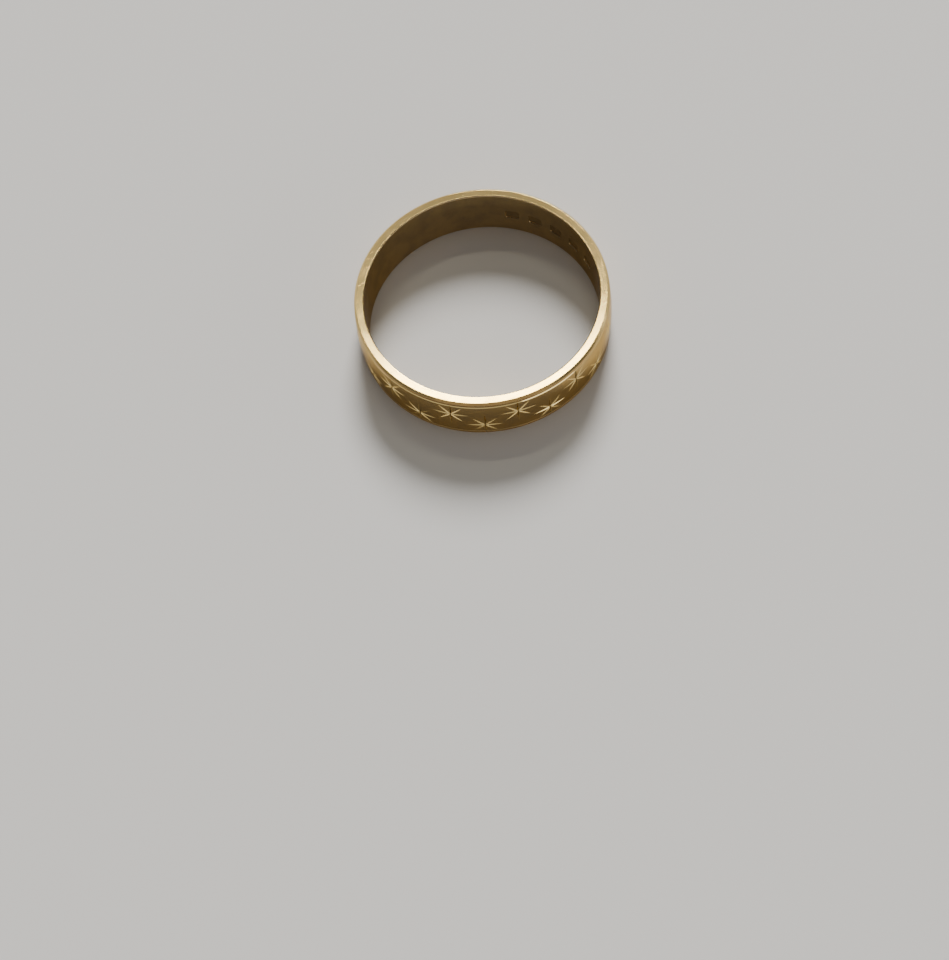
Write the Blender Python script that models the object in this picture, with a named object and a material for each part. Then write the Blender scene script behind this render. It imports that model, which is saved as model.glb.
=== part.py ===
"""Diamond-cut wedding band: one turned gold ring with an engraved line near each edge and two staggered rows of
eight-ray stars cut into its outer wall.

The ring stands on one rim. Z is the finger's axis, and the origin is at the centre of the lower rim's plane.
"""

import math

import bmesh
import bpy

# Driving dimensions, in metres. The wall is thickest at mid height and WALL_CAMBER thinner at the rims.
FINGER_DIAMETER = 0.01814
WALL_THICKNESS = 0.00086
BAND_HEIGHT = 0.0043
WALL_CAMBER = 0.00012

# Broken edges of the rims: the outer bevel is a flat cut, the inner edge is rounded for comfort.
OUTER_BEVEL_WIDTH = 0.00017
OUTER_BEVEL_DROP = 0.00014
INNER_ROUND = 0.0001
INNER_ROUND_STEPS = 3

# The engraved line that runs round the wall near each edge.
LINE_FROM_RIM = 0.00040
LINE_WIDTH = 0.00014
LINE_DEPTH = 0.00005

# The stars: two rows, half a pitch out of step, each star made of V strokes that cross at its centre.
# Each stroke is (direction in degrees, length, depth), no two of one depth, so that no two keels meet in a point.
# STROKE_FLANK is half the V's width for each unit of its depth.
STARS_PER_ROW = 12
ROW_FROM_MIDDLE = 0.00066
STROKES = (
    (45.0, 0.00266, 0.000064),
    (135.0, 0.00266, 0.000068),
    (0.0, 0.00272, 0.000072),
    (90.0, 0.0029, 0.000076),
)
STROKE_FLANK = 1.3
STROKE_SECTIONS = 6
CUTTER_LIFT = 0.00015
FIRST_STAR_ANGLE = 0.0

TURNING_STEPS = 96
WALL_STEPS = 4

BORE_RADIUS = FINGER_DIAMETER / 2
WALL_RADIUS = BORE_RADIUS + WALL_THICKNESS
MIDDLE = BAND_HEIGHT / 2

GOLD_COLOUR = (0.72, 0.50, 0.24, 1.0)
GOLD_ROUGHNESS = 0.22


def clear_scene():
    for obj in list(bpy.data.objects):
        bpy.data.objects.remove(obj, do_unlink=True)


def gold_material():
    material = bpy.data.materials.new("gold")
    material.use_nodes = True
    shader = material.node_tree.nodes["Principled BSDF"]
    shader.inputs["Base Color"].default_value = GOLD_COLOUR
    shader.inputs["Metallic"].default_value = 1.0
    shader.inputs["Roughness"].default_value = GOLD_ROUGHNESS
    material.diffuse_color = GOLD_COLOUR
    return material


def wall_radius_at(height):
    """Radius of the gently crowned outer wall, before anything is engraved in it."""
    from_middle = (height - MIDDLE) / MIDDLE
    return WALL_RADIUS - WALL_CAMBER * from_middle**2


def upper_half_outside():
    """(radius, height) points of the outer side, from the upper rim's flat down to the middle of the band."""
    top = BAND_HEIGHT
    bevel_foot = top - OUTER_BEVEL_DROP
    line = top - LINE_FROM_RIM
    points = [
        (WALL_RADIUS - OUTER_BEVEL_WIDTH - WALL_CAMBER, top),
        (wall_radius_at(bevel_foot), bevel_foot),
        (wall_radius_at(line + LINE_WIDTH / 2), line + LINE_WIDTH / 2),
        (wall_radius_at(line) - LINE_DEPTH, line),
        (wall_radius_at(line - LINE_WIDTH / 2), line - LINE_WIDTH / 2),
    ]
    plain_top = line - LINE_WIDTH / 2
    for step in range(1, WALL_STEPS // 2 + 1):
        height = plain_top + (MIDDLE - plain_top) * step / (WALL_STEPS // 2)
        points.append((wall_radius_at(height), height))
    return points


def lower_inner_round():
    """The quarter circle from the lower rim's flat up into the bore."""
    points = []
    for step in range(INNER_ROUND_STEPS + 1):
        turn = math.pi / 2 * step / INNER_ROUND_STEPS
        radius = BORE_RADIUS + INNER_ROUND * (1 - math.sin(turn))
        points.append((radius, INNER_ROUND * (1 - math.cos(turn))))
    return points


def mirrored(points):
    """The same points reflected in the band's middle plane, in the order that carries the outline on."""
    return [(radius, BAND_HEIGHT - height) for radius, height in reversed(points)]


def section_outline():
    """The closed cross-section: down the outer side, in along the lower rim, up the bore and out again."""
    outside = upper_half_outside()
    inner = lower_inner_round()
    return outside + mirrored(outside)[1:] + inner + mirrored(inner)


def turned_band(material):
    """The plain ring: its cross-section turned once round Z."""
    outline = section_outline()
    mesh = bpy.data.meshes.new("band")
    corners = [(radius, 0.0, height) for radius, height in outline]
    count = len(corners)
    mesh.from_pydata(corners, [(i, (i + 1) % count) for i in range(count)], [])
    mesh.materials.append(material)
    band = bpy.data.objects.new("band", mesh)
    bpy.context.collection.objects.link(band)
    turn = band.modifiers.new("turn", "SCREW")
    turn.axis = "Z"
    turn.angle = math.tau
    turn.steps = TURNING_STEPS
    turn.render_steps = TURNING_STEPS
    turn.use_smooth_shade = True
    return band


def star_centres():
    """(angle round the band, height) of every star, the two rows half a pitch out of step."""
    pitch = math.tau / STARS_PER_ROW
    for number in range(STARS_PER_ROW):
        yield FIRST_STAR_ANGLE + number * pitch, MIDDLE + ROW_FROM_MIDDLE
        yield FIRST_STAR_ANGLE + (number + 0.5) * pitch, MIDDLE - ROW_FROM_MIDDLE


def on_wall(angle, height, along, across, out):
    """A point given by its arc length and height from a star's centre, and how far it stands off the wall."""
    level = height + across
    radius = wall_radius_at(level) + out
    turned = angle + along / WALL_RADIUS
    return radius * math.cos(turned), radius * math.sin(turned), level


def add_stroke(shape, angle, height, direction, length, deepest):
    """One boat-shaped V cutter, deepest at the star's centre and running out to nothing at its ends."""
    ring = []
    for section in range(STROKE_SECTIONS):
        share = 2 * section / (STROKE_SECTIONS - 1) - 1
        depth = deepest * (1 - share**2)
        half_width = (depth + CUTTER_LIFT) * STROKE_FLANK
        corners = []
        for side, out in ((0.0, -depth), (half_width, CUTTER_LIFT), (-half_width, CUTTER_LIFT)):
            reach = share * length / 2
            along = reach * math.cos(direction) - side * math.sin(direction)
            across = reach * math.sin(direction) + side * math.cos(direction)
            corners.append(shape.verts.new(on_wall(angle, height, along, across, out)))
        ring.append(corners)
    for first, second in zip(ring, ring[1:]):
        for corner in range(3):
            following = (corner + 1) % 3
            shape.faces.new((first[corner], second[corner], second[following]))
            shape.faces.new((first[corner], second[following], first[following]))
    shape.faces.new(ring[0])
    shape.faces.new(reversed(ring[-1]))


def cut_strokes(band, degrees, length, deepest):
    """Cuts the stroke in one direction through every star."""
    shape = bmesh.new()
    for angle, height in star_centres():
        add_stroke(shape, angle, height, math.radians(degrees), length, deepest)
    bmesh.ops.recalc_face_normals(shape, faces=shape.faces)
    mesh = bpy.data.meshes.new(f"stroke_{degrees:.0f}")
    shape.to_mesh(mesh)
    shape.free()
    cutter = bpy.data.objects.new(f"stroke_{degrees:.0f}", mesh)
    bpy.context.collection.objects.link(cutter)
    cutter.display_type = "WIRE"
    cutter.hide_render = True
    cut = band.modifiers.new(f"cut_{degrees:.0f}", "BOOLEAN")
    cut.operation = "DIFFERENCE"
    cut.solver = "EXACT"
    cut.object = cutter


def main():
    clear_scene()
    band = turned_band(gold_material())
    for degrees, length, deepest in STROKES:
        cut_strokes(band, degrees, length, deepest)


main()
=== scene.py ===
"""Looks of the diamond-cut wedding band: the ring as one fine mesh, its gold, and a plain studio."""

import math
import random
from collections import namedtuple

import bmesh
import bpy
import numpy as np
from mathutils import Matrix, Vector


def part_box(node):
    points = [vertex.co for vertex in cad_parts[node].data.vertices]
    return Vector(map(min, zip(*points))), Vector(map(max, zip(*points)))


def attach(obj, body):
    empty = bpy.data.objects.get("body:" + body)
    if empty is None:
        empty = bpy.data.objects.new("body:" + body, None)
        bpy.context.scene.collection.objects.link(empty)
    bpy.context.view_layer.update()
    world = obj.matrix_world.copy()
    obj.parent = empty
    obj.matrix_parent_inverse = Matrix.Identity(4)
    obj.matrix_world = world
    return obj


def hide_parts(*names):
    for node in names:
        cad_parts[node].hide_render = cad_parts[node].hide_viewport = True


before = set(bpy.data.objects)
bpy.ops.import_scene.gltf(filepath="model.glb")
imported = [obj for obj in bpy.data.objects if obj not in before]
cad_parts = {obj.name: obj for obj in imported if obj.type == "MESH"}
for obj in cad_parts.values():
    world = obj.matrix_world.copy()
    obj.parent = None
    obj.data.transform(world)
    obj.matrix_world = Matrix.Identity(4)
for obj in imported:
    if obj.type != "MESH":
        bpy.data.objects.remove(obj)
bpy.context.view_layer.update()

LOW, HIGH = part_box("band")
MM = 0.001
MICRON = 0.001 * MM

# The turned ring. Its height and outer radius come from the frame, and the rest repeats the CAD.
BAND_HEIGHT = HIGH.z - LOW.z
MIDDLE = BAND_HEIGHT / 2
WALL_RADIUS = HIGH.x
WALL_THICKNESS = 0.86 * MM
BORE_RADIUS = WALL_RADIUS - WALL_THICKNESS
WALL_CAMBER = 0.12 * MM
OUTER_BEVEL_WIDTH = 0.17 * MM
OUTER_BEVEL_DROP = 0.14 * MM
INNER_ROUND = 0.10 * MM
SOFT_EDGE = 0.025 * MM
LINE_FROM_RIM = 0.40 * MM
LINE_WIDTH = 0.14 * MM
LINE_DEPTH = 0.05 * MM
TURNING_STEPS = 480
WALL_ROWS = 6
ARC_STEPS = 5

# The stars' strokes: (direction in degrees, length, depth). Each is a V that runs out to nothing at
# both ends. The HAND values are how far a stroke may be off true.
STARS_PER_ROW = 12
ROW_FROM_MIDDLE = 0.66 * MM
STROKES = (
    (0.0, 2.72 * MM, 0.072 * MM),
    (90.0, 2.90 * MM, 0.076 * MM),
    (45.0, 2.66 * MM, 0.064 * MM),
    (135.0, 2.66 * MM, 0.068 * MM),
)
STROKE_FLANK = 1.30
STROKE_SECTIONS = 25
CUTTER_LIFT = 0.2 * MM
HAND_SEED = 11
HAND_PLACE = 0.012 * MM
HAND_TURN = math.radians(0.9)
HAND_LENGTH = 0.03
HAND_DEPTH = 0.05
Stroke = namedtuple("Stroke", "angle height direction length depth")

# Blank punches in the bore, where a maker would stamp a ring.
PUNCHES = 5
FIRST_PUNCH = math.radians(10.7)
PUNCH_PITCH = math.radians(12.25)
PUNCH_LEVEL = 2.04 * MM
PUNCH_WIDTH = 1.05 * MM
PUNCH_HEIGHT = 0.85 * MM
PUNCH_CORNER = 0.16 * MM
PUNCH_DEPTH = 0.045 * MM
PUNCH_DRAFT = 0.03 * MM
PUNCH_LIFT = 0.1 * MM
PUNCH_TURN = math.radians(2.5)

# Camera: measured from the ring's own axis, with the ring turned under it by VIEW_TURN.
VIEW_TURN = math.radians(-9.3)
CAMERA_AT = Vector((0.0, -81.57, 129.79)) * MM
CAMERA_AIM = Vector((-2.34, -13.64, 0.0)) * MM
CAMERA_ROLL = math.radians(-9.246)
CAMERA_LENS = 73.0
CAMERA_SENSOR = 36.0
CAMERA_NEAREST = 5.0 * MM

# Finishes. The materials read how deep a point is cut from the mesh attribute named DEPTH: 1 is the
# bottom of an engraved line or of a punch. The slacks are how near a face has to be to count.
FINISHES = ["gold_wall", "gold_rim", "gold_cut", "gold_bore"]
DEPTH = "depth"
DEEPEST = 2.0
MID_WALL = BORE_RADIUS + WALL_THICKNESS / 2
RIM_SLACK = 0.2 * SOFT_EDGE
PUNCH_SLACK = 0.1 * PUNCH_DEPTH
SURFACE_SLACK = 0.1 * MICRON

# Colours of the gold and of what is on it, and the darker golds that paint shade on the wall and in
# the bore.
GOLD = (0.76, 0.54, 0.22, 1.0)
GOLD_PALE = (0.85, 0.63, 0.26, 1.0)
# A darker gold, painted shade: in the wall's dull patches and in the bore's smudges and speckles.
GOLD_PAINTED_SHADE = (0.38, 0.29, 0.18, 1.0)
# The wall's gold, darkened as a painted shade.
GOLD_WALL_PAINTED_SHADE = (0.62, 0.43, 0.18, 1.0)
GOLD_SKIN = (0.56, 0.42, 0.22, 1.0)
COPPERY = (0.52, 0.25, 0.11, 1.0)
# Dirt in the cuts and punches; near the lower rim the cuts take the same colour as a painted shade.
GRIME_AND_SHADE = (0.10, 0.055, 0.025, 1.0)
EDGE_TINT = (0.78, 0.66, 0.46, 1.0)

# A turned surface: how fast the pattern of its fine lines changes along them and across them, its
# roughness where it is clean and what lines, dull patches and hairlines add to that, and the relief
# of the lines and the hairlines.
Turned = namedtuple(
    "Turned",
    "along across roughness line_rough dull_rough hair_rough line_height hair_height anisotropy",
)
WALL = Turned(0.45, 34.0, 0.07, 0.08, 0.07, 0.12, 0.45 * MICRON, -1.6 * MICRON, 0.35)
RIM = Turned(0.5, 26.0, 0.06, 0.05, 0.03, 0.04, 0.4 * MICRON, -0.5 * MICRON, 0.4)
BORE = Turned(0.4, 28.0, 0.07, 0.08, 0.14, 0.10, 0.6 * MICRON, -1.4 * MICRON, 0.35)

# Soft patches: how many to the millimetre, the noise at which they begin and are full, where in the
# noise they are taken from, and how much they count for.
Patches = namedtuple("Patches", "per_mm low high shift share")
# The wall's dull patches roughen it, and by their share they darken its colour as a painted shade.
WALL_DULL_AND_SHADE = Patches(0.5, 0.42, 0.66, 0.0, 0.45)
WALL_MOTTLE = Patches(2.3, 0.40, 0.60, 7.0, 0.03)
TARNISH = Patches(0.9, 0.25, 0.65, 4.0, 0.45)
RIM_DULL = Patches(0.7, 0.40, 0.75, 2.0, 0.40)
# The bore's smudges and speckles roughen it and darken its colour in blotches: a painted mottled
# reflection.
SMUDGE_AND_REFLECTION = Patches(0.7, 0.38, 0.68, 5.0, 0.55)
SPECKLE_AND_REFLECTION = Patches(3.0, 0.50, 0.72, 8.0, 0.18)
NOISE_DETAIL = 3.0
PATCH_NOISE = 0.5
LINE_NOISE = 0.6

# Hairline scratches of three sizes: cells to the millimetre, width and length in millimetres, and
# the share of cells that hold one. They fade out near the seam of the unrolled surface, in radians.
Hairs = namedtuple("Hairs", "per_mm width length share")
HAIRS = (
    Hairs(0.38, 0.028, 2.4, 0.6),
    Hairs(0.85, 0.020, 1.1, 0.6),
    Hairs(1.9, 0.014, 0.5, 0.7),
)
SEAM_FADE = (math.pi - 0.12, math.pi - 0.04)

# Where the land and the bevel change colour, as millimetres from mid height.
LAND_FOOT = (MIDDLE - LINE_FROM_RIM + LINE_WIDTH / 2) / MM
LAND_EDGE = (LAND_FOOT - 0.02, LAND_FOOT + 0.02)
BEVEL_FOOT = (MIDDLE - OUTER_BEVEL_DROP) / MM
BEVEL_EDGE = (BEVEL_FOOT - 0.02, BEVEL_FOOT + 0.03)

# Grime: the depths at which it begins and is full, and how much of it there is. In the cuts that
# follows a fine grit. The cuts near the lower rim, its line among them, are darkened as a painted
# shade.
CUT_ROUGHNESS = 0.04
CUT_GRIME_DEPTHS = (0.75, 1.45)
CUT_GRIME = (0.45, 0.95)
CUT_GRIME_ROUGH = 0.35
GRIT_PER_MM = 9.0
GRIT_LEVELS = (0.25, 0.6)
GRIT_ROUGH = 0.05
GRIT_HEIGHT = 0.4 * MICRON
# Below these heights the cuts are darkened as a painted shade: the line near the lower rim and the
# strokes' lower ends.
LOW_LINE_HEIGHTS = (1.2 * LINE_FROM_RIM / MM, 1.6 * LINE_FROM_RIM / MM)
LOW_LINE_PAINTED_SHADE = (0.75, 0.0)
PUNCH_GRIME_DEPTHS = (0.15, 0.9)
PUNCH_GRIME = (0.0, 0.35)
PUNCH_GRIME_ROUGH = 0.25

# Studio: a wide sheet of paper, and all round it a light wall near the horizon and a dim ceiling.
# SKY holds (sine of the elevation, grey).
FLOOR_HALF = 40.0
PAPER = (0.72, 0.71, 0.695, 1.0)
PAPER_ROUGHNESS = 0.9
SKY = (
    (-0.05, 0.92),
    (0.0, 0.92),
    (0.12, 0.62),
    (0.32, 0.56),
    (0.39, 0.17),
    (0.62, 0.17),
    (0.74, 0.05),
    (1.0, 0.05),
)
SKY_TINT = (1.0, 0.985, 0.96)

# Soft boxes round the ring. All angles are in degrees: azimuth 0 is beyond the ring and 90 is to its
# right, and a card spans the elevations from low to high.
Card = namedtuple("Card", "name azimuth low high half_width radiance colour")
WHITE = (1.0, 1.0, 1.0)
CARD_DISTANCE = 0.6
CARDS = (
    Card("rim_card", 0, 59.1, 61.8, 9, 18.0, (1.0, 0.93, 0.70)),
    Card("back_card", 0, 50.0, 58.9, 14, 0.35, (1.0, 0.97, 0.90)),
    Card("side_card", 120, 10.0, 22.0, 40, 1.6, WHITE),
    Card("top_card", 0, 71.0, 103.0, 14, 0.55, WHITE),
    Card("front_card", 180, 36.0, 52.0, 35, 0.20, (1.0, 0.72, 0.50)),
)

# The main light, far off. KEY_SPREAD is how wide it looks, in degrees, which softens its shadows.
KEY_AZIMUTH = 10.0
KEY_ELEVATION = 35.0
KEY_SPREAD = 22.0
KEY_STRENGTH = 4.9
KEY_COLOUR = (1.0, 0.98, 0.95)


# --- the turned section -----------------------------------------------------------------------


def station(radius, height, lean):
    """A point of the section and the way its surface faces: lean 0 is out, 90 degrees is up."""
    return radius, height, math.cos(lean), math.sin(lean)


def straight(start, end):
    """Two stations with the normal of the line between them, walked with the metal on its right."""
    (r0, z0), (r1, z1) = start, end
    lean = math.atan2(r1 - r0, -(z1 - z0))
    return [station(r0, z0, lean), station(r1, z1, lean)]


def arc(centre, radius, lean_from, lean_to, steps=ARC_STEPS):
    """Stations on a convex arc whose normals turn from one lean to another."""
    leans = [lean_from + (lean_to - lean_from) * step / steps for step in range(steps + 1)]
    return [
        station(centre[0] + radius * math.cos(lean), centre[1] + radius * math.sin(lean), lean)
        for lean in leans
    ]


def wall_radius_at(height):
    """Radius of the gently crowned outer wall, before anything is engraved in it."""
    from_middle = (height - MIDDLE) / MIDDLE
    return WALL_RADIUS - WALL_CAMBER * from_middle**2


def on_wall(height):
    return wall_radius_at(height), height


def wall_station(height):
    slope = -2 * WALL_CAMBER * (height - MIDDLE) / MIDDLE**2
    return station(wall_radius_at(height), height, math.atan2(-slope, 1.0))


def shoulder():
    """The rim's flat, the outer bevel with its two edges softened, and the land above the line."""
    top = BAND_HEIGHT
    foot = top - OUTER_BEVEL_DROP
    outer = wall_radius_at(foot)
    bevel_lean = math.atan2(OUTER_BEVEL_WIDTH, OUTER_BEVEL_DROP)
    flat_end = outer - OUTER_BEVEL_WIDTH
    reach_up = SOFT_EDGE * math.tan((math.pi / 2 - bevel_lean) / 2)
    reach_down = SOFT_EDGE * math.tan(bevel_lean / 2)
    upper = arc((flat_end - reach_up, top - SOFT_EDGE), SOFT_EDGE, math.pi / 2, bevel_lean)
    lower = arc((outer - SOFT_EDGE, foot - reach_down), SOFT_EDGE, bevel_lean, 0.0)
    flat = straight((BORE_RADIUS + INNER_ROUND, top), upper[0][:2])
    bevel = straight(upper[-1][:2], lower[0][:2])
    land = straight(lower[-1][:2], on_wall(top - LINE_FROM_RIM + LINE_WIDTH / 2))
    return [flat, upper, bevel, lower, land]


def upper_half():
    """Runs of stations from mid height in the bore, over the rim and down the wall to mid height."""
    top = BAND_HEIGHT
    line = top - LINE_FROM_RIM
    bore = straight((BORE_RADIUS, MIDDLE), (BORE_RADIUS, top - INNER_ROUND))
    inner = arc((BORE_RADIUS + INNER_ROUND, top - INNER_ROUND), INNER_ROUND, math.pi, math.pi / 2)
    deepest = (wall_radius_at(line) - LINE_DEPTH, line)
    line_top = on_wall(line + LINE_WIDTH / 2)
    line_foot = on_wall(line - LINE_WIDTH / 2)
    plain = line_foot[1]
    heights = [plain + (MIDDLE - plain) * row / WALL_ROWS for row in range(WALL_ROWS + 1)]
    wall = [wall_station(height) for height in heights]
    line_sides = [straight(line_top, deepest), straight(deepest, line_foot)]
    return [bore, inner] + shoulder() + line_sides + [wall]


def section():
    """The whole closed section as a list of runs, the lower half being the upper one mirrored."""
    upper = upper_half()
    lower = [
        [(radius, BAND_HEIGHT - height, out, -up) for radius, height, out, up in reversed(run)]
        for run in reversed(upper)
    ]
    return upper + lower


def section_edges(runs):
    """Every short edge of the section as a row: start station, then end station."""
    return np.array([first + second for run in runs for first, second in zip(run, run[1:])])


# --- the engraving ----------------------------------------------------------------------------


def star_strokes():
    """Every stroke of every star, each a little off true, as a hand-set machine leaves it."""
    hand = random.Random(HAND_SEED)
    pitch = math.tau / STARS_PER_ROW
    strokes = []
    for number in range(STARS_PER_ROW):
        for share, side in ((0.0, 1), (0.5, -1)):
            angle = (number + share) * pitch + hand.uniform(-1, 1) * HAND_PLACE / WALL_RADIUS
            height = MIDDLE + side * ROW_FROM_MIDDLE + hand.uniform(-1, 1) * HAND_PLACE
            turned = hand.uniform(-1, 1) * HAND_TURN
            for degrees, length, depth in STROKES:
                strokes.append(
                    Stroke(
                        angle,
                        height,
                        math.radians(degrees) + turned + hand.uniform(-1, 1) * HAND_TURN / 2,
                        length * (1 + hand.uniform(-1, 1) * HAND_LENGTH),
                        depth * (1 + hand.uniform(-1, 1) * HAND_DEPTH),
                    )
                )
    return strokes


def boat_section(stroke, share):
    """A cutter's keel and its two edges above the wall, at a share of its half length."""
    keel = stroke.depth * (1 - share**2)
    half_width = (keel + CUTTER_LIFT) * STROKE_FLANK
    reach = share * stroke.length / 2
    cosine = math.cos(stroke.direction)
    sine = math.sin(stroke.direction)
    corners = []
    for side, out in ((0.0, -keel), (half_width, CUTTER_LIFT), (-half_width, CUTTER_LIFT)):
        along = reach * cosine - side * sine
        across = reach * sine + side * cosine
        height = stroke.height + across
        radius = wall_radius_at(height) + out
        turned = stroke.angle + along / WALL_RADIUS
        corners.append((radius * math.cos(turned), radius * math.sin(turned), height))
    return corners


def stroke_cutter(strokes):
    """One mesh of boat-shaped V cutters that don't touch each other, wrapped on the wall."""
    verts = []
    faces = []
    for stroke in strokes:
        first = len(verts)
        for number in range(STROKE_SECTIONS):
            verts += boat_section(stroke, 2 * number / (STROKE_SECTIONS - 1) - 1)
        last = first + 3 * (STROKE_SECTIONS - 1)
        for start in range(first, last, 3):
            for corner in range(3):
                here = start + corner
                beside = start + (corner + 1) % 3
                faces.append((here, here + 3, beside + 3))
                faces.append((here, beside + 3, beside))
        faces.append((first + 2, first + 1, first))
        faces.append((last, last + 1, last + 2))
    return verts, faces


def rounded_outline(wide, tall, corner):
    """Points round a rectangle with rounded corners."""
    points = []
    for number, (side, end) in enumerate(((1, 1), (-1, 1), (-1, -1), (1, -1))):
        for step in range(ARC_STEPS + 1):
            turn = math.pi / 2 * (number + step / ARC_STEPS)
            across = side * (wide / 2 - corner) + corner * math.cos(turn)
            points.append((across, end * (tall / 2 - corner) + corner * math.sin(turn)))
    return points


def punch(angle, tilt):
    """The points of one blunt punch with rounded corners, set in the bore, from back to face."""
    out = Vector((math.cos(angle), math.sin(angle), 0.0))
    turn = Matrix.Rotation(tilt, 3, out)
    along = turn @ Vector((-out.y, out.x, 0.0))
    up = turn @ Vector((0.0, 0.0, 1.0))
    verts = []
    for depth in (-PUNCH_LIFT, PUNCH_DEPTH):
        grown = 2 * PUNCH_DRAFT * (1 - depth / PUNCH_DEPTH)
        corner = PUNCH_CORNER + grown / 2
        outline = rounded_outline(PUNCH_WIDTH + grown, PUNCH_HEIGHT + grown, corner)
        middle = out * (BORE_RADIUS + depth) + Vector((0.0, 0.0, PUNCH_LEVEL))
        verts += [middle + along * across + up * rise for across, rise in outline]
    return verts


def punch_cutter():
    """One mesh of the punches, set in a row."""
    hand = random.Random(HAND_SEED)
    verts = []
    faces = []
    for number in range(PUNCHES):
        first = len(verts)
        verts += punch(FIRST_PUNCH + number * PUNCH_PITCH, hand.uniform(-1, 1) * PUNCH_TURN)
        count = (len(verts) - first) // 2
        for corner in range(count):
            here = first + corner
            beside = first + (corner + 1) % count
            faces.append((here, beside, beside + count, here + count))
        faces.append(tuple(range(first, first + count)))
        faces.append(tuple(range(first + count, first + 2 * count)))
    return verts, faces


def add_object(name, data):
    obj = bpy.data.objects.new(name, data)
    bpy.context.collection.objects.link(obj)
    return obj


def closed_mesh(name, verts, faces):
    """A closed mesh whose faces all look outwards."""
    mesh = bpy.data.meshes.new(name)
    mesh.from_pydata(verts, [], faces)
    facing = bmesh.new()
    facing.from_mesh(mesh)
    bmesh.ops.recalc_face_normals(facing, faces=facing.faces)
    facing.to_mesh(mesh)
    facing.free()
    return mesh


def cut(target, name, shape):
    """Takes the shape away from the target."""
    cutter = add_object(name, closed_mesh(name, *shape))
    modifier = target.modifiers.new(name, "BOOLEAN")
    modifier.operation = "DIFFERENCE"
    modifier.solver = "MANIFOLD"
    modifier.object = cutter
    return cutter


def turned_mesh(runs):
    """The plain ring as a closed mesh of quads."""
    outline = [point[:2] for run in runs for point in run[:-1]]
    rows = len(outline)
    angles = [math.tau * step / TURNING_STEPS for step in range(TURNING_STEPS)]
    verts = [(r * math.cos(a), r * math.sin(a), z) for a in angles for r, z in outline]
    faces = []
    for step in range(TURNING_STEPS):
        here = step * rows
        there = (step + 1) % TURNING_STEPS * rows
        for row in range(rows):
            following = (row + 1) % rows
            faces.append((here + row, here + following, there + following, there + row))
    return closed_mesh("band_metal", verts, faces)


# --- normals and finishes ---------------------------------------------------------------------


def values(collection, name, width, kind=float):
    """One property of every element of a mesh's collection, in rows where it is a vector."""
    flat = np.empty(len(collection) * width, kind)
    collection.foreach_get(name, flat)
    return flat if width == 1 else flat.reshape(-1, width)


def polar(points):
    """Radius, angle and height of each point."""
    x, y, z = points.T
    return np.hypot(x, y), np.arctan2(y, x), z


def nearest_section_edge(edges, radius, height):
    """The number of the section edge nearest to each point of the section's plane, and how near."""
    best = np.full(len(radius), np.inf)
    chosen = np.zeros(len(radius), int)
    for number, (r0, z0, _, _, r1, z1, _, _) in enumerate(edges):
        length2 = (r1 - r0) ** 2 + (z1 - z0) ** 2
        share = ((radius - r0) * (r1 - r0) + (height - z0) * (z1 - z0)) / length2
        share = np.clip(share, 0, 1)
        off = (radius - r0 - share * (r1 - r0)) ** 2 + (height - z0 - share * (z1 - z0)) ** 2
        closer = off < best
        best[closer] = off[closer]
        chosen[closer] = number
    return chosen, np.sqrt(best)


def stroke_offsets(stroke, angle, height):
    """Distances along and across a stroke of points given by angle and height."""
    around = (angle - stroke.angle + math.pi) % math.tau - math.pi
    along = around * WALL_RADIUS
    up = height - stroke.height
    cosine = math.cos(stroke.direction)
    sine = math.sin(stroke.direction)
    return along * cosine + up * sine, up * cosine - along * sine


def stroke_depth(stroke, angle, height):
    """How far below the wall a stroke's surface lies, negative where it doesn't cut."""
    reach, side = stroke_offsets(stroke, angle, height)
    return stroke.depth * (1 - (2 * reach / stroke.length) ** 2) - np.abs(side) / STROKE_FLANK


def deepest_stroke(strokes, angle, height):
    """The number of the stroke that cuts deepest at each point, and that depth."""
    best = np.full(len(angle), -np.inf)
    chosen = np.full(len(angle), -1)
    for number, stroke in enumerate(strokes):
        depth = stroke_depth(stroke, angle, height)
        deeper = depth > best
        best[deeper] = depth[deeper]
        chosen[deeper] = number
    return chosen, best


def section_normals(edge, corner):
    """Normals of corners that lie on the turned section, each blended along its section edge."""
    radius = np.hypot(corner[:, 0], corner[:, 1])
    outward = corner[:, :2] / radius[:, None]
    run_r = edge[:, 4] - edge[:, 0]
    run_z = edge[:, 5] - edge[:, 1]
    share = (radius - edge[:, 0]) * run_r + (corner[:, 2] - edge[:, 1]) * run_z
    share = np.clip(share / (run_r**2 + run_z**2), 0, 1)
    lean_out = edge[:, 2] + share * (edge[:, 6] - edge[:, 2])
    lean_up = edge[:, 3] + share * (edge[:, 7] - edge[:, 3])
    return np.column_stack((outward * lean_out[:, None], lean_up))


def stroke_normals(stroke, corner, centre):
    """Normals of corners on a stroke's V, given their faces' centres, not yet of unit length."""
    radius, angle, height = polar(corner)
    reach = stroke_offsets(stroke, angle, height)[0]
    _, face_angle, face_height = polar(centre)
    middle = stroke_offsets(stroke, face_angle, face_height)[1]
    fall_along = -8 * stroke.depth * reach / stroke.length**2
    fall_across = -np.sign(middle) / STROKE_FLANK
    cosine = math.cos(stroke.direction)
    sine = math.sin(stroke.direction)
    fall_round = fall_along * cosine - fall_across * sine
    fall_up = fall_along * sine + fall_across * cosine
    outward = corner[:, :2] / radius[:, None]
    tangent = np.column_stack((-outward[:, 1], outward[:, 0]))
    return np.column_stack((outward + tangent * fall_round[:, None], fall_up))


def finish_numbers(height, outside, in_stroke):
    """The number in FINISHES of each face."""
    from_middle = np.abs(height - MIDDLE)
    on_line = outside & (np.abs(from_middle - (MIDDLE - LINE_FROM_RIM)) < LINE_WIDTH / 2)
    finish = np.full(len(height), FINISHES.index("gold_wall"))
    finish[~outside] = FINISHES.index("gold_bore")
    finish[from_middle > MIDDLE - RIM_SLACK] = FINISHES.index("gold_rim")
    finish[in_stroke | on_line] = FINISHES.index("gold_cut")
    return finish.astype(np.int32)


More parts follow.
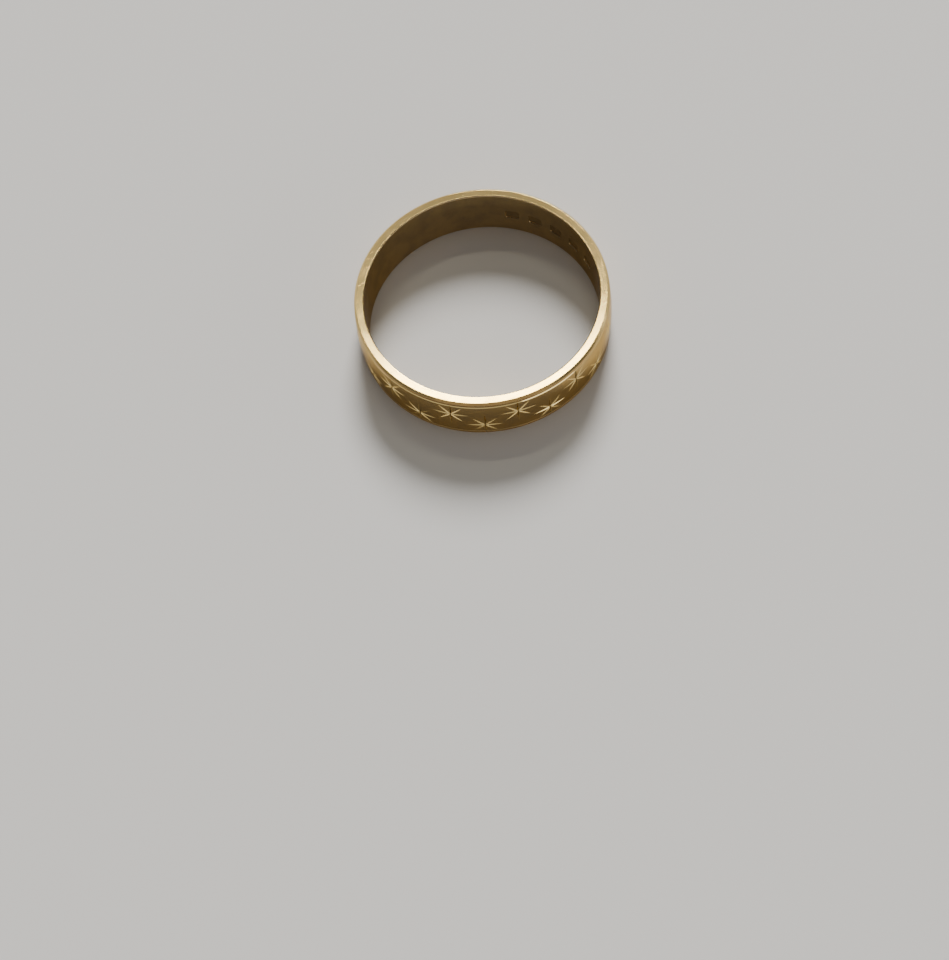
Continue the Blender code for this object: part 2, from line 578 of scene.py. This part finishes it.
def finish_band(mesh, runs, strokes):
    """Gives each face its finish, and its corners the true normals of the surface it lies on."""
    points = values(mesh.vertices, "co", 3)
    corner = points[values(mesh.loops, "vertex_index", 1, np.int32)]
    sides = values(mesh.polygons, "loop_total", 1, np.int32)
    face_of_corner = np.repeat(np.arange(len(sides)), sides)
    centres = values(mesh.polygons, "center", 3)
    face_normals = values(mesh.polygons, "normal", 3)

    radius, angle, height = polar(centres)
    edges = section_edges(runs)
    edge_number, off = nearest_section_edge(edges, radius, height)
    stroke_number, depth = deepest_stroke(strokes, angle, height)
    outside = radius > MID_WALL
    sunk = wall_radius_at(height) - radius
    in_stroke = outside & (depth > 0) & (np.abs(sunk - depth) < np.maximum(off, SURFACE_SLACK))
    in_punch = ~outside & (off > PUNCH_SLACK) & (radius > BORE_RADIUS)

    normals = section_normals(edges[edge_number][face_of_corner], corner)
    for number, stroke in enumerate(strokes):
        picked = np.flatnonzero((in_stroke & (stroke_number == number))[face_of_corner])
        normals[picked] = stroke_normals(stroke, corner[picked], centres[face_of_corner[picked]])
    flat = in_punch[face_of_corner]
    normals[flat] = face_normals[face_of_corner[flat]]
    normals /= np.linalg.norm(normals, axis=1)[:, None]

    mesh.polygons.foreach_set("material_index", finish_numbers(height, outside, in_stroke))
    mesh.polygons.foreach_set("use_smooth", np.ones(len(sides), bool))
    mesh.normals_split_custom_set(normals.tolist())
    store_depth(mesh, points)
    print(f"band: {len(sides)} faces, {in_stroke.sum()} in strokes, {in_punch.sum()} in punches")


def store_depth(mesh, points):
    """Keeps how deep each point lies in a line, a stroke or a punch, for the materials."""
    radius, _, height = polar(points)
    in_wall = (wall_radius_at(height) - radius) / LINE_DEPTH
    in_bore = (radius - BORE_RADIUS) / PUNCH_DEPTH
    depth = np.where(radius > MID_WALL, in_wall, in_bore)
    depth[np.abs(height - MIDDLE) > MIDDLE - OUTER_BEVEL_DROP] = 0.0
    attribute = mesh.attributes.new(DEPTH, "FLOAT", "POINT")
    attribute.data.foreach_set("value", np.clip(depth, 0.0, DEEPEST).astype(np.float32))


# --- gold -------------------------------------------------------------------------------------


class Metal:
    """A material, with short ways to add nodes. An input is a number, a tuple or a node's output.

    place, plan, radius, height and from_middle say where a point is, in millimetres.
    """

    def __init__(self, name):
        self.material = bpy.data.materials.new(name)
        self.material.use_nodes = True
        self.tree = self.material.node_tree
        self.shader = self.tree.nodes["Principled BSDF"]
        self.shader.inputs["Metallic"].default_value = 1.0
        self.shader.inputs["Specular Tint"].default_value = EDGE_TINT
        self.place = self.vector("SCALE", self.add("TexCoord").outputs["Object"], scale=1 / MM)
        x, y, self.height = self.parts(self.place)
        self.plan = self.combined(X=x, Y=y)
        length = self.add("VectorMath", {"Vector": self.plan}, operation="LENGTH")
        self.radius = length.outputs["Value"]
        self.angle = self.math("ARCTAN2", y, x)
        self.depth = self.add("Attribute", attribute_name=DEPTH).outputs["Fac"]
        self.from_middle = self.size(self.math("SUBTRACT", self.height, MIDDLE / MM))

    def add(self, kind, inputs=None, **settings):
        node = self.tree.nodes.new("ShaderNode" + kind)
        for name, value in settings.items():
            setattr(node, name, value)
        for name, value in (inputs or {}).items():
            self.feed(node.inputs[name], value)
        return node

    def feed(self, socket, value):
        if isinstance(value, bpy.types.NodeSocket):
            self.tree.links.new(value, socket)
        else:
            socket.default_value = value

    def vector(self, operation, first, second=None, scale=None):
        node = self.add("VectorMath", {0: first}, operation=operation)
        if second is not None:
            self.feed(node.inputs[1], second)
        if scale is not None:
            self.feed(node.inputs["Scale"], scale)
        return node.outputs["Vector"]

    def math(self, operation, first, second=None):
        node = self.add("Math", {0: first}, operation=operation)
        if second is not None:
            self.feed(node.inputs[1], second)
        return node.outputs["Value"]

    def size(self, value):
        return self.math("ABSOLUTE", value)

    def parts(self, vector):
        return tuple(self.add("SeparateXYZ", {"Vector": vector}).outputs)

    def combined(self, **parts):
        return self.add("CombineXYZ", parts).outputs["Vector"]

    def noise(self, place, roughness):
        inputs = {"Vector": place, "Scale": 1.0, "Detail": NOISE_DETAIL, "Roughness": roughness}
        return self.add("TexNoise", inputs).outputs["Fac"]

    def rise(self, value, low, high, bottom=0.0, top=1.0):
        """A smooth step: bottom below low, top above high."""
        inputs = {
            "Value": value,
            "From Min": low,
            "From Max": high,
            "To Min": bottom,
            "To Max": top,
        }
        return self.add("MapRange", inputs, interpolation_type="SMOOTHSTEP").outputs["Result"]

    def mix(self, share, first, second):
        """Two colours mixed. A Mix node's sockets share their names, so these go by number."""
        node = self.add("Mix", {"Factor": share}, data_type="RGBA")
        self.feed(node.inputs[6], first)
        self.feed(node.inputs[7], second)
        return node.outputs[2]

    def total(self, terms):
        """The sum of (value, weight) pairs."""
        result = None
        for value, weight in terms:
            part = self.math("MULTIPLY", value, weight)
            result = part if result is None else self.math("ADD", result, part)
        return result

    def patches(self, kind):
        """Soft patches, 1 inside them."""
        place = self.vector("SCALE", self.place, scale=kind.per_mm)
        place = self.vector("ADD", place, (kind.shift, 0.0, 0.0))
        return self.rise(self.noise(place, PATCH_NOISE), kind.low, kind.high)

    def lines_round_wall(self, surface):
        """Fine lines that run round an upright wall."""
        stretch = (surface.along, surface.along, surface.across)
        return self.noise(self.vector("MULTIPLY", self.place, stretch), LINE_NOISE)

    def lines_round_rim(self, surface):
        """Fine lines that run round a flat rim."""
        slow = self.vector("SCALE", self.plan, scale=surface.along)
        fast = self.combined(Z=self.math("MULTIPLY", self.radius, surface.across))
        return self.noise(self.vector("ADD", slow, fast), LINE_NOISE)

    def hairlines(self, across, hairs):
        """Straight scratches on the unrolled surface, each at a random slant in its own cell."""
        around = self.math("MULTIPLY", self.angle, WALL_RADIUS / MM * hairs.per_mm)
        unrolled = self.combined(X=around, Y=self.math("MULTIPLY", across, hairs.per_mm))
        pattern = {"Vector": unrolled, "Scale": 1.0}
        cells = self.add("TexVoronoi", pattern, voronoi_dimensions="2D").outputs
        turns, chance, _ = self.parts(cells["Color"])
        offset = {
            "Vector": self.vector("SUBTRACT", unrolled, cells["Position"]),
            "Angle": self.math("MULTIPLY", turns, math.tau),
        }
        slanted = self.add("VectorRotate", offset, rotation_type="Z_AXIS").outputs["Vector"]
        reach, side, _ = self.parts(slanted)
        thin = self.rise(self.size(side), 0.0, hairs.width * hairs.per_mm, 1.0, 0.0)
        ends = self.rise(self.size(reach), 0.0, hairs.length * hairs.per_mm / 2, 1.0, 0.0)
        off_seam = self.rise(self.size(self.angle), *SEAM_FADE, 1.0, 0.0)
        chosen = self.math("LESS_THAN", chance, hairs.share)
        line = self.math("MULTIPLY", self.math("MULTIPLY", thin, ends), chosen)
        return self.math("MULTIPLY", line, off_seam)

    def scratches(self, across):
        """Hairlines of all three sizes, as a ring picks up from what it rubs against."""
        coarse, middling, fine = [self.hairlines(across, hairs) for hairs in HAIRS]
        return self.math("MAXIMUM", coarse, self.math("MAXIMUM", middling, fine))

    def turned_finish(self, surface, colour, lines, dull, hairs, more=()):
        """The finish of a turned surface, where more holds (value, roughness) pairs of its own."""
        marks = [
            (lines, surface.line_rough),
            (dull, surface.dull_rough),
            (hairs, surface.hair_rough),
            *more,
        ]
        roughness = self.math("ADD", self.total(marks), surface.roughness)
        relief = self.total([(lines, surface.line_height), (hairs, surface.hair_height)])
        return self.finish(colour, roughness, relief, surface.anisotropy)

    def finish(self, colour, roughness, height, anisotropy):
        """Puts the colour, the roughness and the relief, in metres, on the shader."""
        self.feed(self.shader.inputs["Base Color"], colour)
        self.feed(self.shader.inputs["Roughness"], roughness)
        bump = self.add("Bump", {"Height": height, "Distance": 1.0, "Strength": 1.0})
        self.feed(self.shader.inputs["Normal"], bump.outputs["Normal"])
        self.shader.inputs["Anisotropic"].default_value = anisotropy
        tangent = self.add("Tangent", direction_type="RADIAL", axis="Z")
        self.feed(self.shader.inputs["Tangent"], tangent.outputs["Tangent"])
        return self.material


def gold_wall():
    """The polished outer wall, its gold darkened as a painted shade and darker still in its dull
    patches, with a coppery tarnish on the land and paler gold on the bevels.
    """
    metal = Metal("gold_wall")
    lines = metal.lines_round_wall(WALL)
    hairs = metal.scratches(metal.height)
    dull = metal.patches(WALL_DULL_AND_SHADE)
    on_land = metal.rise(metal.from_middle, *LAND_EDGE)
    on_bevel = metal.rise(metal.from_middle, *BEVEL_EDGE)
    # Painted shade: the wall's gold is darkened, and darker still in the dull patches.
    colour = metal.mix(metal.math("MULTIPLY", dull, WALL_DULL_AND_SHADE.share), GOLD_WALL_PAINTED_SHADE, GOLD_PAINTED_SHADE)
    tarnish = metal.math("MULTIPLY", on_land, metal.patches(TARNISH))
    colour = metal.mix(metal.math("MULTIPLY", tarnish, TARNISH.share), colour, COPPERY)
    colour = metal.mix(on_bevel, colour, GOLD_PALE)
    mottle = (metal.patches(WALL_MOTTLE), WALL_MOTTLE.share)
    return metal.turned_finish(WALL, colour, lines, dull, hairs, [mottle])


def gold_rim():
    """The flat rims, turned and then worn to a satin shine."""
    metal = Metal("gold_rim")
    lines = metal.lines_round_rim(RIM)
    hairs = metal.scratches(metal.radius)
    dull = metal.patches(RIM_DULL)
    colour = metal.mix(metal.math("MULTIPLY", dull, RIM_DULL.share), GOLD_PALE, GOLD)
    return metal.turned_finish(RIM, colour, lines, dull, hairs)


def gold_cut():
    """The bright facets of the strokes and lines, with grime where they are deepest, and a painted
    shade on those near the lower rim.
    """
    metal = Metal("gold_cut")
    grit = metal.noise(metal.vector("SCALE", metal.place, scale=GRIT_PER_MM), PATCH_NOISE)
    deep = metal.rise(metal.depth, *CUT_GRIME_DEPTHS)
    grime_and_shade = metal.math("MULTIPLY", deep, metal.rise(grit, *GRIT_LEVELS, *CUT_GRIME))
    # Painted shade: the cuts near the lower rim, the line there among them, are darkened.
    low_line_shade = metal.rise(metal.height, *LOW_LINE_HEIGHTS, *LOW_LINE_PAINTED_SHADE)
    grime_and_shade = metal.math("MAXIMUM", grime_and_shade, low_line_shade)
    colour = metal.mix(grime_and_shade, GOLD_PALE, GRIME_AND_SHADE)
    roughness = metal.total([(grime_and_shade, CUT_GRIME_ROUGH), (grit, GRIT_ROUGH)])
    roughness = metal.math("ADD", roughness, CUT_ROUGHNESS)
    return metal.finish(colour, roughness, metal.total([(grit, GRIT_HEIGHT)]), 0.0)


def gold_bore():
    """The bore, polished by wear, smudged by skin, mottled darker in its smudges by a painted
    reflection, and dark in the punches.
    """
    metal = Metal("gold_bore")
    lines = metal.lines_round_wall(BORE)
    hairs = metal.scratches(metal.height)
    smudge_and_reflection_patch = (metal.patches(SMUDGE_AND_REFLECTION), SMUDGE_AND_REFLECTION.share)
    speckle_and_reflection_patch = (metal.patches(SPECKLE_AND_REFLECTION), SPECKLE_AND_REFLECTION.share)
    smudge_film_and_reflection = metal.total([smudge_and_reflection_patch, speckle_and_reflection_patch])
    grime_and_shade = metal.rise(metal.depth, *PUNCH_GRIME_DEPTHS, *PUNCH_GRIME)
    # In the smudges and speckles the bore's gold turns darker: a painted mottled reflection.
    colour = metal.mix(grime_and_shade, metal.mix(smudge_film_and_reflection, GOLD_SKIN, GOLD_PAINTED_SHADE), GRIME_AND_SHADE)
    return metal.turned_finish(BORE, colour, lines, smudge_film_and_reflection, hairs, [(grime_and_shade, PUNCH_GRIME_ROUGH)])


def gold_materials():
    """The four finishes of the one metal, in the order of FINISHES."""
    return [gold_wall(), gold_rim(), gold_cut(), gold_bore()]


# --- the band ---------------------------------------------------------------------------------


def engraved_mesh(band, strokes):
    """The band's mesh in triangles, less the strokes and punches, with its materials."""
    per_star = len(STROKES)
    cutters = [
        cut(band, f"strokes_{number}", stroke_cutter(strokes[number::per_star]))
        for number in range(per_star)
    ]
    cutters.append(cut(band, "punches", punch_cutter()))
    band.modifiers.new("triangles", "TRIANGULATE")
    graph = bpy.context.evaluated_depsgraph_get()
    mesh = bpy.data.meshes.new_from_object(band.evaluated_get(graph))
    band.modifiers.clear()
    for cutter in cutters:
        bpy.data.objects.remove(cutter, do_unlink=True)
    mesh.materials.clear()
    for material in gold_materials():
        mesh.materials.append(material)
    return mesh


def engraved_band():
    """The whole ring, as one piece."""
    runs = section()
    strokes = star_strokes()
    band = add_object("engraved_band", turned_mesh(runs))
    band.data = engraved_mesh(band, strokes)
    finish_band(band.data, runs, strokes)
    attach(band, "root")
    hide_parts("band")


# --- the studio -------------------------------------------------------------------------------


def floor():
    """A wide sheet of pale paper."""
    mesh = bpy.data.meshes.new("floor")
    sides = ((-1, -1), (1, -1), (1, 1), (-1, 1))
    corners = [(x * FLOOR_HALF, y * FLOOR_HALF, 0.0) for x, y in sides]
    mesh.from_pydata(corners, [], [(0, 1, 2, 3)])
    obj = add_object("floor", mesh)
    material = bpy.data.materials.new("paper")
    material.use_nodes = True
    shader = material.node_tree.nodes["Principled BSDF"]
    shader.inputs["Base Color"].default_value = PAPER
    shader.inputs["Roughness"].default_value = PAPER_ROUGHNESS
    mesh.materials.append(material)


def surroundings():
    """The radiance of the wall and the ceiling, as a ramp over the sine of the elevation."""
    world = bpy.data.worlds.new("studio")
    world.use_nodes = True
    tree = world.node_tree
    background = tree.nodes["Background"]
    direction = tree.nodes.new("ShaderNodeTexCoord")
    parts = tree.nodes.new("ShaderNodeSeparateXYZ")
    spread = tree.nodes.new("ShaderNodeMapRange")
    ramp = tree.nodes.new("ShaderNodeValToRGB")
    low, high = SKY[0][0], SKY[-1][0]
    spread.inputs["From Min"].default_value = low
    spread.inputs["From Max"].default_value = high
    ramp.color_ramp.interpolation = "EASE"
    while len(ramp.color_ramp.elements) < len(SKY):
        ramp.color_ramp.elements.new(0.5)
    for element, (height, grey) in zip(ramp.color_ramp.elements, SKY):
        element.position = (height - low) / (high - low)
        element.color = [grey * tint for tint in SKY_TINT] + [1.0]
    tree.links.new(direction.outputs["Generated"], parts.inputs["Vector"])
    tree.links.new(parts.outputs["Z"], spread.inputs["Value"])
    tree.links.new(spread.outputs["Result"], ramp.inputs["Fac"])
    tree.links.new(ramp.outputs["Color"], background.inputs["Color"])
    bpy.context.scene.world = world


def turned_by_view(point):
    return Matrix.Rotation(VIEW_TURN, 3, "Z") @ point


def looking(direction):
    """The turn that points a light or a camera in a direction."""
    return direction.to_track_quat("-Z", "Y")


def towards(azimuth, elevation):
    """The unit vector from the ring to a place in the studio, given in degrees."""
    a, e = math.radians(azimuth), math.radians(elevation)
    return Vector((math.sin(a) * math.cos(e), math.cos(a) * math.cos(e), math.sin(e)))


def card_light(card):
    """A soft box that sends out the card's radiance."""
    aim = Vector((0.0, 0.0, BAND_HEIGHT))
    middle = (card.low + card.high) / 2
    tall = 2 * CARD_DISTANCE * math.tan(math.radians(card.high - card.low) / 2)
    wide = 2 * CARD_DISTANCE * math.tan(math.radians(card.half_width))
    data = bpy.data.lights.new(card.name, "AREA")
    data.shape = "RECTANGLE"
    data.size, data.size_y = wide, tall
    data.energy = card.radiance * math.pi * tall * wide
    data.color = card.colour
    obj = add_object(card.name, data)
    obj.location = turned_by_view(aim + towards(card.azimuth, middle) * CARD_DISTANCE)
    obj.rotation_euler = looking(turned_by_view(aim) - obj.location).to_euler()


def key_light():
    data = bpy.data.lights.new("key", "SUN")
    data.angle = math.radians(KEY_SPREAD)
    data.energy = KEY_STRENGTH
    data.color = KEY_COLOUR
    away = -towards(KEY_AZIMUTH, KEY_ELEVATION)
    add_object("key", data).rotation_euler = looking(turned_by_view(away)).to_euler()


def studio():
    floor()
    surroundings()
    for card in CARDS:
        card_light(card)
    key_light()


def camera():
    data = bpy.data.cameras.new("camera")
    data.lens = CAMERA_LENS
    data.sensor_width = CAMERA_SENSOR
    data.clip_start = CAMERA_NEAREST
    obj = add_object("camera", data)
    at = turned_by_view(CAMERA_AT)
    obj.location = at
    look = looking(turned_by_view(CAMERA_AIM) - at).to_matrix()
    obj.rotation_euler = (look @ Matrix.Rotation(CAMERA_ROLL, 3, "Z")).to_euler()
    bpy.context.scene.camera = obj


camera()
studio()
engraved_band()
